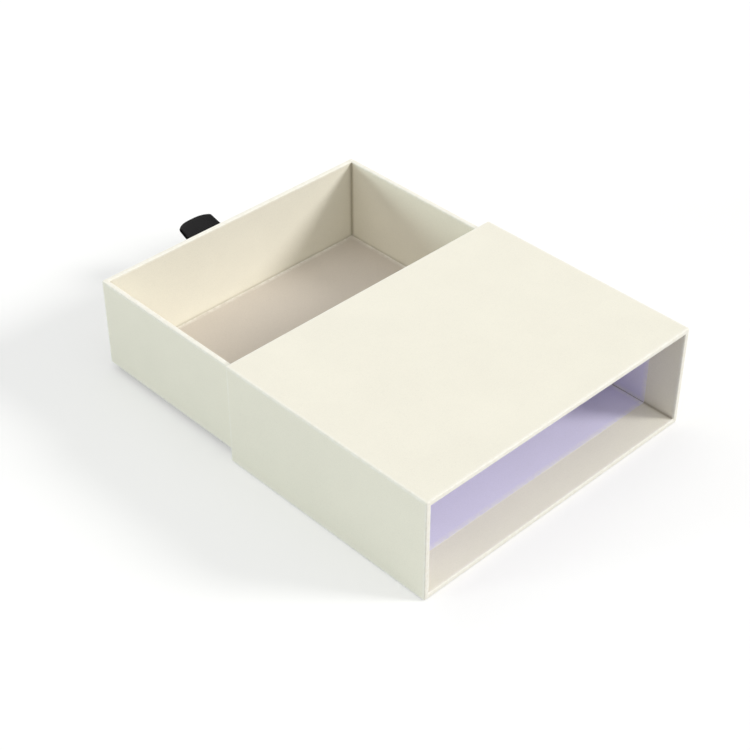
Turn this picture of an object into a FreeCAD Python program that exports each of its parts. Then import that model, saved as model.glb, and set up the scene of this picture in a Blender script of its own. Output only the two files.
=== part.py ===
"""Drawer gift box: a rigid sleeve open at both ends, and a drawer with a ribbon pull.

Both halves are greyboard panels joined by paper stays and covered with paper. The origin is
the middle of the sleeve's underside. X runs across the mouth, Y through the sleeve and Z up,
and the drawer comes out towards -Y. It is drawn pulled most of the way out.
"""
import FreeCAD, Part
import math
import os
import re

import Sketcher
from FreeCAD import Placement, Rotation, Vector

doc = FreeCAD.newDocument("DrawerGiftBox")

# Driving dimensions in millimetres. Everything else is worked out from them.
SIZES = {
    "sleeve_width": 120.0,        # outside, across the mouth
    "sleeve_depth": 88.0,         # from mouth to mouth
    "sleeve_height": 39.0,        # outside, with the base sheet
    "board": 1.5,                 # greyboard caliper
    "cover_paper": 0.2,           # caliper of the cover paper
    "lining_paper": 0.2,          # caliper of the coloured lining
    "base_sheet": 0.2,            # caliper of the sheet under the sleeve
    "base_sheet_inset": 1.5,      # its margin inside the sleeve's outline
    "cover_seam": 0.3,            # gap between the cover's two edges, under the base sheet
    "mouth_turn_in": 13.0,        # cover paper turned into the sleeve's mouths
    "lining_gap": 0.4,            # bare board between two linings at a corner
    "stay_tape": 0.1,             # caliper of the gummed paper tape
    "stay_leg": 10.0,             # how far a stay reaches from its corner
    "side_clearance": 0.4,        # drawer to sleeve, each side
    "floor_clearance": 0.2,       # drawer above the sleeve's lining
    "top_clearance": 0.6,         # drawer below the sleeve's lining
    "end_recess": 0.5,            # closed drawer behind each mouth
    "pulled_out": 68.0,           # how far out the drawer is drawn
    "floor_liner": 0.25,          # caliper of the paper on the drawer's floor
    "floor_liner_gap": 0.4,       # its margin to the drawer's walls
    "ribbon_width": 15.0,
    "ribbon": 0.35,               # ribbon caliper
    "ribbon_reach": 25.0,         # the folded pull, out from the drawer's front
    "ribbon_fold_gap": 0.3,       # between the pull's two layers
    "ribbon_tail": 9.0,           # each tail, up or down from the slot
    "ribbon_tape_margin": 2.5,    # tape past the tails and their sides
    "slot_clearance": 0.15,       # slot and seat, round what goes in them
}

sheet = doc.addObject("Spreadsheet::Sheet", "Sizes")
for row, (alias, value) in enumerate(SIZES.items(), start=1):
    sheet.set(f"A{row}", alias)
    sheet.set(f"B{row}", str(value))
    sheet.setAlias(f"B{row}", alias)
doc.recompute()

# Places that several pieces share, as expressions of the sizes above.
SLEEVE_END = "(sleeve_depth / 2)"
BOARD_END = "(sleeve_depth / 2 - cover_paper)"
BOARD_OUT = "(sleeve_width / 2 - cover_paper)"
BOARD_IN = "(sleeve_width / 2 - cover_paper - board)"
BASE_LOW = "(base_sheet + cover_paper)"
BASE_HIGH = "(base_sheet + cover_paper + board)"
TOP_LOW = "(sleeve_height - cover_paper - board)"
TOP_HIGH = "(sleeve_height - cover_paper)"
LINER = "max(cover_paper; lining_paper)"

DRAWER_SIDE = f"(sleeve_width / 2 - cover_paper - board - {LINER} - side_clearance)"
DRAWER_FRONT = "(end_recess - sleeve_depth / 2 - pulled_out)"
DRAWER_BACK = "(sleeve_depth / 2 - end_recess - pulled_out)"
DRAWER_LOW = f"(base_sheet + cover_paper + board + {LINER} + floor_clearance)"
DRAWER_HIGH = f"(sleeve_height - cover_paper - board - {LINER} - top_clearance)"
WALL_LOW = f"({DRAWER_LOW} + cover_paper + board)"
WALL_HIGH = f"({DRAWER_HIGH} - cover_paper)"
WALL_IN = "(cover_paper + board)"

RIBBON_LEVEL = f"(({DRAWER_LOW} + {DRAWER_HIGH}) / 2)"
PULL_HALF = "(ribbon_fold_gap / 2 + ribbon)"
SEAT_DEPTH = "(ribbon + stay_tape)"
SLOT_WIDTH = "(ribbon_width + 2 * slot_clearance)"
SLOT_HEIGHT = f"(2 * {PULL_HALF} + 2 * slot_clearance)"
TAPE_WIDTH = "(ribbon_width + 2 * ribbon_tape_margin)"
TAPE_HEIGHT = f"(2 * ({PULL_HALF} + ribbon_tail + ribbon_tape_margin))"

# How a flat blank stands: its own X and Y become these directions, and it thickens along the third.
FLAT = Rotation()
SIDE = Rotation(Vector(0, 1, 0), Vector(0, 0, 1), Vector(1, 0, 0), "XYZ")
END = Rotation(Vector(-1, 0, 0), Vector(0, 0, 1), Vector(0, 1, 0), "XYZ")

# A sketch is first drawn this large, and its expressions then set the real sizes.
ROUGH = 10.0

subparts = []


def expression(text):
    """The same formula with each size's name read from the sheet."""
    return re.sub(r"[a-z_]{3,}", lambda m: "Sizes." + m[0] if m[0] in SIZES else m[0], text)


def bind(item, settings):
    for name, text in settings.items():
        item.setExpression(name, expression(text))


def place(item, x, y, z):
    bind(item, {"Placement.Base.x": x, "Placement.Base.y": y, "Placement.Base.z": z})


def keep(item, label):
    """Makes the item one of the box's pieces, under a name of its own."""
    item.Label = label
    subparts.append(item)
    return item


def origin_plane(body, role):
    return next(plane for plane in body.Origin.OriginFeatures if plane.Role == role)


def sketch_on(body, name, role):
    sketch = body.newObject("Sketcher::SketchObject", name)
    sketch.AttachmentSupport = [(origin_plane(body, role), "")]
    sketch.MapMode = "FlatFace"
    return sketch


def measure(sketch, name, constraint, size):
    """A named dimension of a sketch, set by the sizes."""
    sketch.renameConstraint(sketch.addConstraint(constraint), name)
    bind(sketch, {"Constraints." + name: size})


def rectangle_sketch(body, name, across, along):
    """A rectangle about the body's own origin, across by along."""
    sketch = sketch_on(body, name, "XY_Plane")
    corners = [Vector(x * ROUGH / 2, y * ROUGH / 2, 0) for x, y in ((-1, -1), (1, -1), (1, 1), (-1, 1))]
    for side in range(4):
        sketch.addGeometry(Part.LineSegment(corners[side], corners[(side + 1) % 4]))
    for side in range(4):
        sketch.addConstraint(Sketcher.Constraint("Coincident", side, 2, (side + 1) % 4, 1))
        direction = "Vertical" if side % 2 else "Horizontal"
        sketch.addConstraint(Sketcher.Constraint(direction, side))
    sketch.addConstraint(Sketcher.Constraint("Symmetric", 0, 1, 1, 2, -1, 1))
    measure(sketch, "Across", Sketcher.Constraint("DistanceX", 0, 1, 0, 2, ROUGH), across)
    measure(sketch, "Along", Sketcher.Constraint("DistanceY", 1, 1, 1, 2, ROUGH), along)
    return sketch


def blank(label, stance, across, along, caliper, where):
    """A rectangle cut from flat stock. where is the middle of its lower face."""
    body = doc.addObject("PartDesign::Body", label)
    outline = rectangle_sketch(body, label + "_outline", across, along)
    pad = body.newObject("PartDesign::Pad", label + "_stock")
    pad.Profile = outline
    bind(pad, {"Length": caliper})
    outline.Visibility = False
    body.Placement = Placement(Vector(0, 0, 0), stance)
    place(body, *where)
    return keep(body, label)


def block(name, x, y, z):
    """A box between two places along each axis."""
    box = doc.addObject("Part::Box", name)
    bind(box, {"Length": f"{x[1]} - ({x[0]})", "Width": f"{y[1]} - ({y[0]})",
               "Height": f"{z[1]} - ({z[0]})"})
    place(box, x[0], y[0], z[0])
    return box


def cut(name, base, tool):
    result = doc.addObject("Part::Cut", name)
    result.Base = base
    result.Tool = tool
    result.Refine = True
    return result


def join(name, pieces):
    result = doc.addObject("Part::MultiFuse", name)
    result.Shapes = pieces
    result.Refine = True
    return result


def leg(edge, outward, caliper):
    """From inside a board's edge to a caliper past it. outward is 1 or -1."""
    ends = (f"({edge} - {outward} * stay_leg)", f"({edge} + {outward} * {caliper})")
    return ends if outward > 0 else ends[::-1]


def stay(label, first, second, extent_of):
    """Tape folded round the corner of two edges, each given as (edge, outward)."""
    outside = block(label + "_outside", *extent_of(leg(*first, "stay_tape"), leg(*second, "stay_tape")))
    boards = block(label + "_inside", *extent_of(leg(*first, "0"), leg(*second, "0")))
    return keep(cut(label, outside, boards), label)


def sleeve_boards():
    """Base and top run the full width, and the two sides stand between them."""
    depth = f"2 * {BOARD_END}"
    for label, low in (("sleeve_base_board", BASE_LOW), ("sleeve_top_board", TOP_LOW)):
        blank(label, FLAT, f"2 * {BOARD_OUT}", depth, "board", ("0", "0", low))
    middle = f"({BASE_HIGH} + {TOP_LOW}) / 2"
    for label, low in (("sleeve_left_board", f"-{BOARD_OUT}"), ("sleeve_right_board", BOARD_IN)):
        blank(label, SIDE, depth, f"{TOP_LOW} - {BASE_HIGH}", "board", (low, "0", middle))


def sleeve_stays():
    """Tape along the four long corners, over the boards' whole depth."""
    def extent_of(x, z):
        return x, (f"-{BOARD_END}", BOARD_END), z

    return [stay(f"sleeve_stay_{level}_{side}", (f"{outward} * {BOARD_OUT}", outward),
                 (height, up), extent_of)
            for level, height, up in (("base", BASE_LOW, -1), ("top", TOP_HIGH, 1))
            for side, outward in (("left", -1), ("right", 1))]


def sleeve_cover(stays):
    """One sheet round the boards, over both mouth edges and a little way in."""
    across = ("-sleeve_width / 2", "sleeve_width / 2")
    through = (f"-{SLEEVE_END}", SLEEVE_END)
    outside = block("sleeve_outside", across, through, ("base_sheet", "sleeve_height"))
    hollow = block("sleeve_hollow", (f"cover_paper - {BOARD_IN}", f"{BOARD_IN} - cover_paper"),
                   through, (f"{BASE_HIGH} + cover_paper", f"{TOP_LOW} - cover_paper"))
    boards = block("sleeve_board_space", (f"-{BOARD_OUT}", BOARD_OUT),
                   (f"-{BOARD_END}", BOARD_END), (BASE_LOW, TOP_HIGH))
    turn_ins = []
    for mouth, start in (("front", f"-{SLEEVE_END}"), ("back", f"{SLEEVE_END} - mouth_turn_in")):
        turn_ins.append(block(f"sleeve_{mouth}_turn_in", (f"-{BOARD_IN}", BOARD_IN),
                              (start, f"{start} + mouth_turn_in"), (BASE_HIGH, TOP_LOW)))
    board_space = cut("sleeve_space", boards, join("sleeve_turn_ins", turn_ins))
    seam = block("sleeve_seam", ("-cover_seam / 2", "cover_seam / 2"), through,
                 ("base_sheet", BASE_LOW))
    inside = join("sleeve_inside", [hollow, board_space, seam] + stays)
    keep(cut("sleeve_cover_paper", outside, inside), "sleeve_cover_paper")


def sleeve_base_sheet():
    blank("sleeve_base_sheet", FLAT, "sleeve_width - 2 * base_sheet_inset",
          "sleeve_depth - 2 * base_sheet_inset", "base_sheet", ("0", "0", "0"))


def sleeve_linings():
    """A sheet on each wall between the turn-ins, with bare board showing at the corners."""
    depth = "sleeve_depth - 2 * mouth_turn_in"
    width = f"2 * ({BOARD_IN} - lining_gap)"
    height = f"{TOP_LOW} - {BASE_HIGH} - 2 * lining_gap"
    middle = f"({BASE_HIGH} + {TOP_LOW}) / 2"
    blank("sleeve_lining_base", FLAT, width, depth, "lining_paper", ("0", "0", BASE_HIGH))
    blank("sleeve_lining_top", FLAT, width, depth, "lining_paper",
          ("0", "0", f"{TOP_LOW} - lining_paper"))
    blank("sleeve_lining_left", SIDE, depth, height, "lining_paper",
          (f"-{BOARD_IN}", "0", middle))
    blank("sleeve_lining_right", SIDE, depth, height, "lining_paper",
          (f"{BOARD_IN} - lining_paper", "0", middle))


def drawer_boards():
    """The four walls stand on the base, the sides between the front and the back."""
    half_width = f"({DRAWER_SIDE} - cover_paper)"
    length = f"({DRAWER_BACK} - {DRAWER_FRONT} - 2 * cover_paper)"
    height = f"{WALL_HIGH} - {WALL_LOW}"
    middle = f"({DRAWER_FRONT} + {DRAWER_BACK}) / 2"
    level = f"({WALL_LOW} + {WALL_HIGH}) / 2"
    blank("drawer_base_board", FLAT, f"2 * {half_width}", length, "board",
          ("0", middle, f"{DRAWER_LOW} + cover_paper"))
    front = blank("drawer_front_board", END, f"2 * {half_width}", height, "board",
                  ("0", f"{DRAWER_FRONT} + cover_paper", level))
    blank("drawer_back_board", END, f"2 * {half_width}", height, "board",
          ("0", f"{DRAWER_BACK} - {WALL_IN}", level))
    for label, low in (("drawer_left_board", f"-{half_width}"),
                       ("drawer_right_board", f"{half_width} - board")):
        blank(label, SIDE, f"{length} - 2 * board", height, "board", (low, middle, level))
    return front


def ribbon_slot_and_seat(front):
    """The slot for the pull, and the seat pressed into the inner face for its tails."""
    middle = f"{RIBBON_LEVEL} - ({WALL_LOW} + {WALL_HIGH}) / 2"
    openings = (("slot", SLOT_WIDTH, SLOT_HEIGHT, "board"),
                ("seat", f"{TAPE_WIDTH} + 2 * slot_clearance",
                 f"{TAPE_HEIGHT} + 2 * slot_clearance", SEAT_DEPTH))
    for name, across, along, depth in openings:
        outline = rectangle_sketch(front, f"ribbon_{name}_outline", across, along)
        bind(outline, {"AttachmentOffset.Base.y": middle, "AttachmentOffset.Base.z": "board"})
        pocket = front.newObject("PartDesign::Pocket", f"ribbon_{name}")
        pocket.Profile = outline
        bind(pocket, {"Length": depth})
        outline.Visibility = False


def drawer_stays():
    """Tape on the four upright corners, over the walls' whole height."""
    def extent_of(x, y):
        return x, y, (WALL_LOW, WALL_HIGH)

    ends = (("front", f"({DRAWER_FRONT} + cover_paper)", -1), ("back", f"({DRAWER_BACK} - cover_paper)", 1))
    return [stay(f"drawer_stay_{end}_{side}", (f"{outward} * ({DRAWER_SIDE} - cover_paper)", outward),
                 (edge, along), extent_of)
            for end, edge, along in ends
            for side, outward in (("left", -1), ("right", 1))]


def drawer_cover(stays):
    """One sheet under the base, up the walls, over the rim and down to the floor inside."""
    def tray(name, inset, low, high):
        return block(name, (f"{inset} - {DRAWER_SIDE}", f"{DRAWER_SIDE} - {inset}"),
                     (f"{DRAWER_FRONT} + {inset}", f"{DRAWER_BACK} - {inset}"), (low, high))

    outside = tray("drawer_outside", "0", DRAWER_LOW, DRAWER_HIGH)
    boards = tray("drawer_board_space", "cover_paper", f"{DRAWER_LOW} + cover_paper", WALL_HIGH)
    wall_faces = tray("drawer_wall_faces", WALL_IN, WALL_LOW, DRAWER_HIGH)
    hollow = tray("drawer_hollow", f"({WALL_IN} + cover_paper)", WALL_LOW, DRAWER_HIGH)
    board_space = cut("drawer_space", boards, wall_faces)
    slit = block("ribbon_slit", (f"-{SLOT_WIDTH} / 2", f"{SLOT_WIDTH} / 2"),
                 (DRAWER_FRONT, f"{DRAWER_FRONT} + cover_paper"),
                 (f"{RIBBON_LEVEL} - {SLOT_HEIGHT} / 2", f"{RIBBON_LEVEL} + {SLOT_HEIGHT} / 2"))
    inside = join("drawer_inside", [hollow, board_space, slit] + stays)
    keep(cut("drawer_cover_paper", outside, inside), "drawer_cover_paper")


def drawer_floor_liner():
    inset = f"({WALL_IN} + cover_paper + floor_liner_gap)"
    blank("drawer_floor_liner", FLAT, f"2 * ({DRAWER_SIDE} - {inset})",
          f"{DRAWER_BACK} - {DRAWER_FRONT} - 2 * {inset}", "floor_liner",
          ("0", f"({DRAWER_FRONT} + {DRAWER_BACK}) / 2", WALL_LOW))


def ribbon_pull():
    """Folded double, its tails turned up and down on the seat inside the front board."""
    body = doc.addObject("PartDesign::Body", "ribbon_pull")
    sketch = sketch_on(body, "ribbon_section", "YZ_Plane")
    tail, reach = ROUGH, 2 * ROUGH
    inner, outer = ROUGH / 10, ROUGH / 5
    ribbon = outer - inner
    top, bottom = outer + tail, -outer - tail
    outline = ((0, top), (0, outer), (-reach, outer), (-reach, -outer), (0, -outer), (0, bottom),
               (ribbon, bottom), (ribbon, -inner), (-reach, -inner), (-reach, inner), (ribbon, inner),
               (ribbon, top))
    points = [Vector(out, up, 0) for out, up in outline]
    fold = Vector(-reach, 0, 0)
    quarter = math.pi / 2
    outside_fold, inside_fold = 2, 8
    sides = len(points)
    for side in range(sides):
        start, end = points[side], points[(side + 1) % sides]
        if side in (outside_fold, inside_fold):
            circle = Part.Circle(fold, Vector(0, 0, 1), outer if side == outside_fold else inner)
            sketch.addGeometry(Part.ArcOfCircle(circle, quarter, 3 * quarter))
        else:
            sketch.addGeometry(Part.LineSegment(start, end))
    for side in range(sides):
        follower = (side + 1) % sides
        end = 1 if side == inside_fold else 2
        start = 2 if follower == inside_fold else 1
        sketch.addConstraint(Sketcher.Constraint("Coincident", side, end, follower, start))
        if side not in (outside_fold, inside_fold):
            level = points[side].y == points[follower].y
            sketch.addConstraint(Sketcher.Constraint("Horizontal" if level else "Vertical", side))
    for arc in (outside_fold, inside_fold):
        for end in (1, 2):
            sketch.addConstraint(Sketcher.Constraint("Vertical", arc, end, arc, 3))
    sketch.addConstraint(Sketcher.Constraint("Coincident", outside_fold, 3, inside_fold, 3))
    sketch.addConstraint(Sketcher.Constraint("PointOnObject", outside_fold, 3, -1))
    for side in (0, 4):
        sketch.addConstraint(Sketcher.Constraint("PointOnObject", side, 2, -2))
    measure(sketch, "FoldOut", Sketcher.Constraint("Radius", outside_fold, outer), PULL_HALF)
    measure(sketch, "FoldIn", Sketcher.Constraint("Radius", inside_fold, inner), "ribbon_fold_gap / 2")
    measure(sketch, "Reach", Sketcher.Constraint("DistanceX", outside_fold, 3, -1, 1, reach),
            f"board - {SEAT_DEPTH} + cover_paper + ribbon_reach - {PULL_HALF}")
    measure(sketch, "UpperTail", Sketcher.Constraint("DistanceY", 0, 2, 0, 1, tail), "ribbon_tail")
    measure(sketch, "LowerTail", Sketcher.Constraint("DistanceY", 4, 2, 4, 1, tail), "ribbon_tail")
    measure(sketch, "UpperCaliper", Sketcher.Constraint("DistanceX", 0, 1, 10, 2, ribbon), "ribbon")
    measure(sketch, "LowerCaliper", Sketcher.Constraint("DistanceX", 5, 1, 6, 1, ribbon), "ribbon")
    pad = body.newObject("PartDesign::Pad", "ribbon_strip")
    pad.Profile = sketch
    pad.Midplane = True
    bind(pad, {"Length": "ribbon_width"})
    sketch.Visibility = False
    place(body, "0", f"{DRAWER_FRONT} + {WALL_IN} - {SEAT_DEPTH}", RIBBON_LEVEL)
    keep(body, "ribbon_pull")


def ribbon_tape():
    blank("ribbon_tape", END, TAPE_WIDTH, TAPE_HEIGHT, "stay_tape",
          ("0", f"{DRAWER_FRONT} + {WALL_IN} - stay_tape", RIBBON_LEVEL))


def check_and_write():
    """Stops on anything that failed or isn't one sound solid, then writes every piece."""
    for item in doc.Objects:
        if any(word in item.State for word in ("Invalid", "Error")):
            raise RuntimeError(f"{item.Label} failed: {item.State}")
    os.makedirs("parts", exist_ok=True)
    for item in subparts:
        shape = item.Shape
        if shape.isNull() or not shape.isValid() or len(shape.Solids) != 1:
            raise RuntimeError(f"{item.Label} isn't one valid solid")
    for item in subparts:
        item.Shape.exportStep(f"parts/{item.Label}.step")
        print(f"{item.Label}: {item.Shape.Volume:.1f} mm3")


sleeve_boards()
sleeve_cover(sleeve_stays())
sleeve_base_sheet()
sleeve_linings()
ribbon_slot_and_seat(drawer_boards())
drawer_cover(drawer_stays())
drawer_floor_liner()
ribbon_pull()
ribbon_tape()
doc.recompute()
check_and_write()
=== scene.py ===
"""Sliding drawer gift box: covers, linings, tapes, ribbon pull and stage, fitted to the box's fixed parts.

Lengths are in metres, in the frame's own axes: +Z is up and the drawer comes out towards -Y.
"""

import functools
import math
from collections import namedtuple

import bmesh
import bpy
from bpy.props import FloatProperty, FloatVectorProperty, IntProperty, PointerProperty
from mathutils import Matrix, Vector


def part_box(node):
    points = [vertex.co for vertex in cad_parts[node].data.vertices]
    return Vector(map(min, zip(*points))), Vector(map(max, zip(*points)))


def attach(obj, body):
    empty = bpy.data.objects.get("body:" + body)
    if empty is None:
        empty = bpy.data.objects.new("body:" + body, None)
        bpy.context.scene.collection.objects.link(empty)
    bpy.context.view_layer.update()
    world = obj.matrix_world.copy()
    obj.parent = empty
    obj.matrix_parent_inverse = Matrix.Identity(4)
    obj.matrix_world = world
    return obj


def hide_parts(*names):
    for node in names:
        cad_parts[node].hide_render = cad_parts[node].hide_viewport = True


bl_info = {
    "name": "Sliding Drawer Gift Box",
    "version": (1, 0, 0),
    "blender": (4, 5, 0),
    "location": "3D View > Sidebar > Gift Box",
    "description": "Paper-covered sleeve and drawer with linings, a ribbon pull and a plain stage",
    "category": "Mesh",
}

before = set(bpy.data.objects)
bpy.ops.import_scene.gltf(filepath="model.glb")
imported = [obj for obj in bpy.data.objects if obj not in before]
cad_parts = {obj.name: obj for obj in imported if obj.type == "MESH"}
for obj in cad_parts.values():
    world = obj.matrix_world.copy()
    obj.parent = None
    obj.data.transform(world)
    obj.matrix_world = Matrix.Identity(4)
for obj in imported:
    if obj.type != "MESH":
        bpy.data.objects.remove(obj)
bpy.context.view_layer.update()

MM = 0.001

SLEEVE_LOW, SLEEVE_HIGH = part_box("sleeve_cover_paper")
DRAWER_LOW, DRAWER_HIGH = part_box("drawer_cover_paper")
RIBBON_LOW, RIBBON_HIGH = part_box("ribbon_pull")
RIBBON_WIDTH = RIBBON_HIGH.x - RIBBON_LOW.x
RIBBON_LEVEL = (RIBBON_LOW.z + RIBBON_HIGH.z) / 2
TAIL_REACH = (RIBBON_HIGH.z - RIBBON_LOW.z) / 2
TOP_BOARD_LOW, TOP_BOARD_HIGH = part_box("sleeve_top_board")
COVER = SLEEVE_HIGH.z - TOP_BOARD_HIGH.z
WALL = TOP_BOARD_HIGH.z - TOP_BOARD_LOW.z + 2 * COVER
TURN_IN = SLEEVE_HIGH.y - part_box("sleeve_lining_top")[1].y
DRAWER_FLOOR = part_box("drawer_base_board")[1].z


# ------------ settings


def from_screen(red, green, blue):
    """A colour written in 8-bit screen values, as the linear values that shaders take."""
    values = (c / 255 for c in (red, green, blue))
    return tuple(v / 12.92 if v <= 0.04045 else ((v + 0.055) / 1.055) ** 2.4 for v in values)


def kind_of_setting(make, **fixed):
    """A maker of settings of one kind, each from its name, description and default."""

    def setting(name, description, default, **own):
        return make(name=name, description=description, default=default, **{**fixed, **own})

    return setting


a_colour = kind_of_setting(FloatVectorProperty, subtype="COLOR", min=0, max=1)
a_length = kind_of_setting(FloatProperty, unit="LENGTH", precision=5, min=0, max=0.1)
a_share = kind_of_setting(FloatProperty, subtype="FACTOR", min=0, max=1)
an_angle = kind_of_setting(FloatProperty, subtype="ANGLE")
a_number = kind_of_setting(FloatProperty, min=0)
a_count = kind_of_setting(IntProperty, min=0)


class GiftBoxPapers(bpy.types.PropertyGroup):
    """Colours and surface of the papers and the board."""

    cover: a_colour("Cover paper", "Paper round the sleeve and the drawer", from_screen(243, 239, 225))
    lining: a_colour("Lining paper", "Sheets inside the sleeve", from_screen(233, 229, 253))
    # Greyer paper than the cover, and darker in part as painted shade on the drawer's floor.
    floor: a_colour("Floor paper", "Sheet on the drawer's floor", from_screen(210, 201, 190))
    # Partly bare fibre on scuffed folds, partly a painted highlight along every fold and cut edge.
    worn: a_colour("Worn fibre", "Bare fibre where a fold is rubbed", from_screen(252, 250, 243))
    # Painted shade: darkens the inner corners and the foot of the drawer's inner walls, where shade falls.
    crease: a_colour("Crease", "Tone in the inner corners", from_screen(150, 138, 112))
    greyboard: a_colour("Greyboard", "Board under the papers", from_screen(150, 143, 132))
    tape: a_colour("Gummed tape", "Tape on the boards' corners", from_screen(196, 170, 132))
    tooth: a_length("Tooth", "Size of the paper's tooth", 0.28 * MM)
    mottle: a_share("Mottle", "Cloudiness of the paper's tone", 0.45)
    fibre: a_share("Fibre", "How far single fibres show", 0.5)
    # How far the folds whiten, as bare fibre and as a painted highlight.
    wear: a_share("Edge wear", "How far the folds are rubbed", 0.7)


class GiftBoxFolds(bpy.types.PropertyGroup):
    """Sizes of the folds and seams."""

    corner: a_length("Corner radius", "Outer radius of the long and upright corners", 0.5 * MM)
    rim: a_length("Rim radius", "Radius of the folds over a board's edge", 0.42 * MM)
    inner: a_length("Inner radius", "Radius of the inner corners", 0.25 * MM)
    seam_inset: a_length("Seam inset", "From a drawer corner to the wrap's cut edge", 0.9 * MM)
    seam_step: a_length("Seam step", "Height of the wrap's cut edge", 0.1 * MM)
    slit: a_length("Slit depth", "Depth of the slit where two turn-ins meet", 0.09 * MM)
    lap: a_length("Lining lap", "How far a lining laps over the turn-ins", 0.5 * MM)
    waver: a_length("Cut waver", "How far a cut edge strays from straight", 0.1 * MM)


class GiftBoxRibbon(bpy.types.PropertyGroup):
    """The woven ribbon pull."""

    colour: a_colour("Ribbon", "Thread colour", from_screen(9, 8, 9))
    # Painted highlight: the rib tops are drawn lighter than the thread colour.
    crest: a_colour("Rib crest", "Thread colour on top of the ribs", from_screen(20, 19, 21))
    pitch: a_length("Rib pitch", "From one rib to the next", 0.62 * MM)
    depth: a_length("Rib depth", "How far a rib stands up", 0.05 * MM)
    opening: a_length("Loop opening", "How far the loop's two layers part", 1.1 * MM)
    rise: a_length("Rise", "How far the loop's end springs up", 4.0 * MM)
    rounding: a_length("Fold rounding", "How far the fold's ends are pulled back", 2.2 * MM)
    across: a_count("Threads", "Mesh columns across the ribbon", 26, min=4)


class GiftBoxStage(bpy.types.PropertyGroup):
    """Camera, floor and light."""

    azimuth: an_angle("Azimuth", "Camera's turn from -Y towards +X", math.radians(136))
    elevation: an_angle("Elevation", "Camera's height above the horizon", math.radians(38))
    distance: a_length("Distance", "From the camera to its target", 0.565, max=5)
    lens: a_number("Lens", "Focal length in millimetres", 80.0, min=10)
    floor: a_share("Floor tone", "How pale the floor is to the light that falls on it", 0.68)
    shadow: a_share("Shadow depth", "How far the object's shadow darkens the white floor", 0.7)
    key: a_number("Key light", "Strength of the key light", 1.95)
    top: a_number("Top light", "Strength of the wide light overhead", 1.83)
    side: a_number("Side light", "Strength of the low soft light from +X", 1.05)
    sky: a_number("Fill light", "Strength of the light from all round", 0.1)


# ------------ node helpers

FLOAT, COLOUR = "NodeSocketFloat", "NodeSocketColor"
SHAPE, MATERIAL = "NodeSocketGeometry", "NodeSocketMaterial"
SOCKET_OF_DEFAULT = {float: FLOAT, int: "NodeSocketInt", tuple: COLOUR}
WHITE = (1.0, 1.0, 1.0, 1.0)


class Graph:
    """Short calls to add and join the nodes of one tree."""

    def __init__(self, tree):
        self.tree = tree

    def add(self, kind, values=None, **settings):
        """A new node, with its settings and the values or links of its named inputs."""
        node = self.tree.nodes.new(kind)
        for name, value in settings.items():
            setattr(node, name, value)
        for name, value in (values or {}).items():
            self.put(node.inputs[name], value)
        return node

    def put(self, socket, value):
        """Links a socket, or writes a plain value."""
        if isinstance(value, bpy.types.NodeSocket):
            self.tree.links.new(value, socket)
        else:
            socket.default_value = value

    def group(self, tree, values):
        """The outputs of a shader group placed in this tree."""
        return self.add("ShaderNodeGroup", values, node_tree=tree).outputs

    def math(self, operation, first, second=0.0):
        """One Math node's result."""
        return self.add("ShaderNodeMath", {0: first, 1: second}, operation=operation).outputs[0]

    plus = functools.partialmethod(math, "ADD")
    minus = functools.partialmethod(math, "SUBTRACT")
    times = functools.partialmethod(math, "MULTIPLY")
    over = functools.partialmethod(math, "DIVIDE")

    def vector(self, operation, first, second):
        """One Vector Math node's result."""
        return self.add("ShaderNodeVectorMath", {0: first, 1: second}, operation=operation).outputs[0]

    def scaled(self, vector, scale):
        """A vector times a number."""
        return self.add("ShaderNodeVectorMath", {0: vector, "Scale": scale}, operation="SCALE").outputs[0]

    def mapped(self, value, low, high, new_low=0.0, new_high=1.0, curve="LINEAR"):
        """A value moved from one range to another, held within it."""
        values = {"Value": value, "From Min": low, "From Max": high, "To Min": new_low, "To Max": new_high}
        node = self.add("ShaderNodeMapRange", values, interpolation_type=curve, clamp=True)
        return node.outputs["Result"]

    def blend(self, share, first, second, kind="MIX"):
        """Two colours mixed."""
        values = {"Factor": share, 6: first, 7: second}
        node = self.add("ShaderNodeMix", values, data_type="RGBA", blend_type=kind, clamp_factor=True)
        return node.outputs[2]

    def noise(self, vector, detail=2.0, roughness=0.5, distortion=0.0, scale=1.0):
        """A noise value, about 0.5 on average."""
        values = {"Vector": vector, "Scale": scale, "Detail": detail, "Roughness": roughness,
                  "Distortion": distortion}
        return self.add("ShaderNodeTexNoise", values, noise_dimensions="3D").outputs["Fac"]

    def seeded_noise(self, vector, seed, scale):
        """The outputs of a noise that also changes with a seed."""
        values = {"Vector": vector, "W": seed, "Scale": scale, "Detail": 2.0}
        return self.add("ShaderNodeTexNoise", values, noise_dimensions="4D").outputs

    def swing(self, noise, amount):
        """A noise's swing about its middle, times an amount."""
        return self.times(self.minus(noise, 0.5), amount)

    def object_place(self):
        """The point's place on its own object."""
        return self.add("ShaderNodeTexCoord").outputs["Object"]

    def attribute(self, name):
        """A value that the mesh carries, and 0 on a mesh without it."""
        return self.add("ShaderNodeAttribute", attribute_name=name).outputs["Fac"]

    def stored(self, shape, name, value):
        """A shape whose points carry the value under a name."""
        values = {"Geometry": shape, "Name": name, "Value": value}
        node = self.add("GeometryNodeStoreNamedAttribute", values, data_type="FLOAT", domain="POINT")
        return node.outputs[0]

    def carried(self, name):
        """The value that a shape's points carry under a name."""
        node = self.add("GeometryNodeInputNamedAttribute", {"Name": name}, data_type="FLOAT")
        return node.outputs["Attribute"]

    def point_place(self):
        """The place of a shape's points."""
        return self.add("GeometryNodeInputPosition").outputs[0]

    def finish_shape(self, shape, given, made):
        """Ends a shape tree: its instances made real and its material set."""
        real = self.add("GeometryNodeRealizeInstances", {"Geometry": shape})
        values = {"Geometry": real.outputs[0], "Material": given["Material"]}
        dressed = self.add("GeometryNodeSetMaterial", values)
        self.put(made["Geometry"], dressed.outputs[0])


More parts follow.
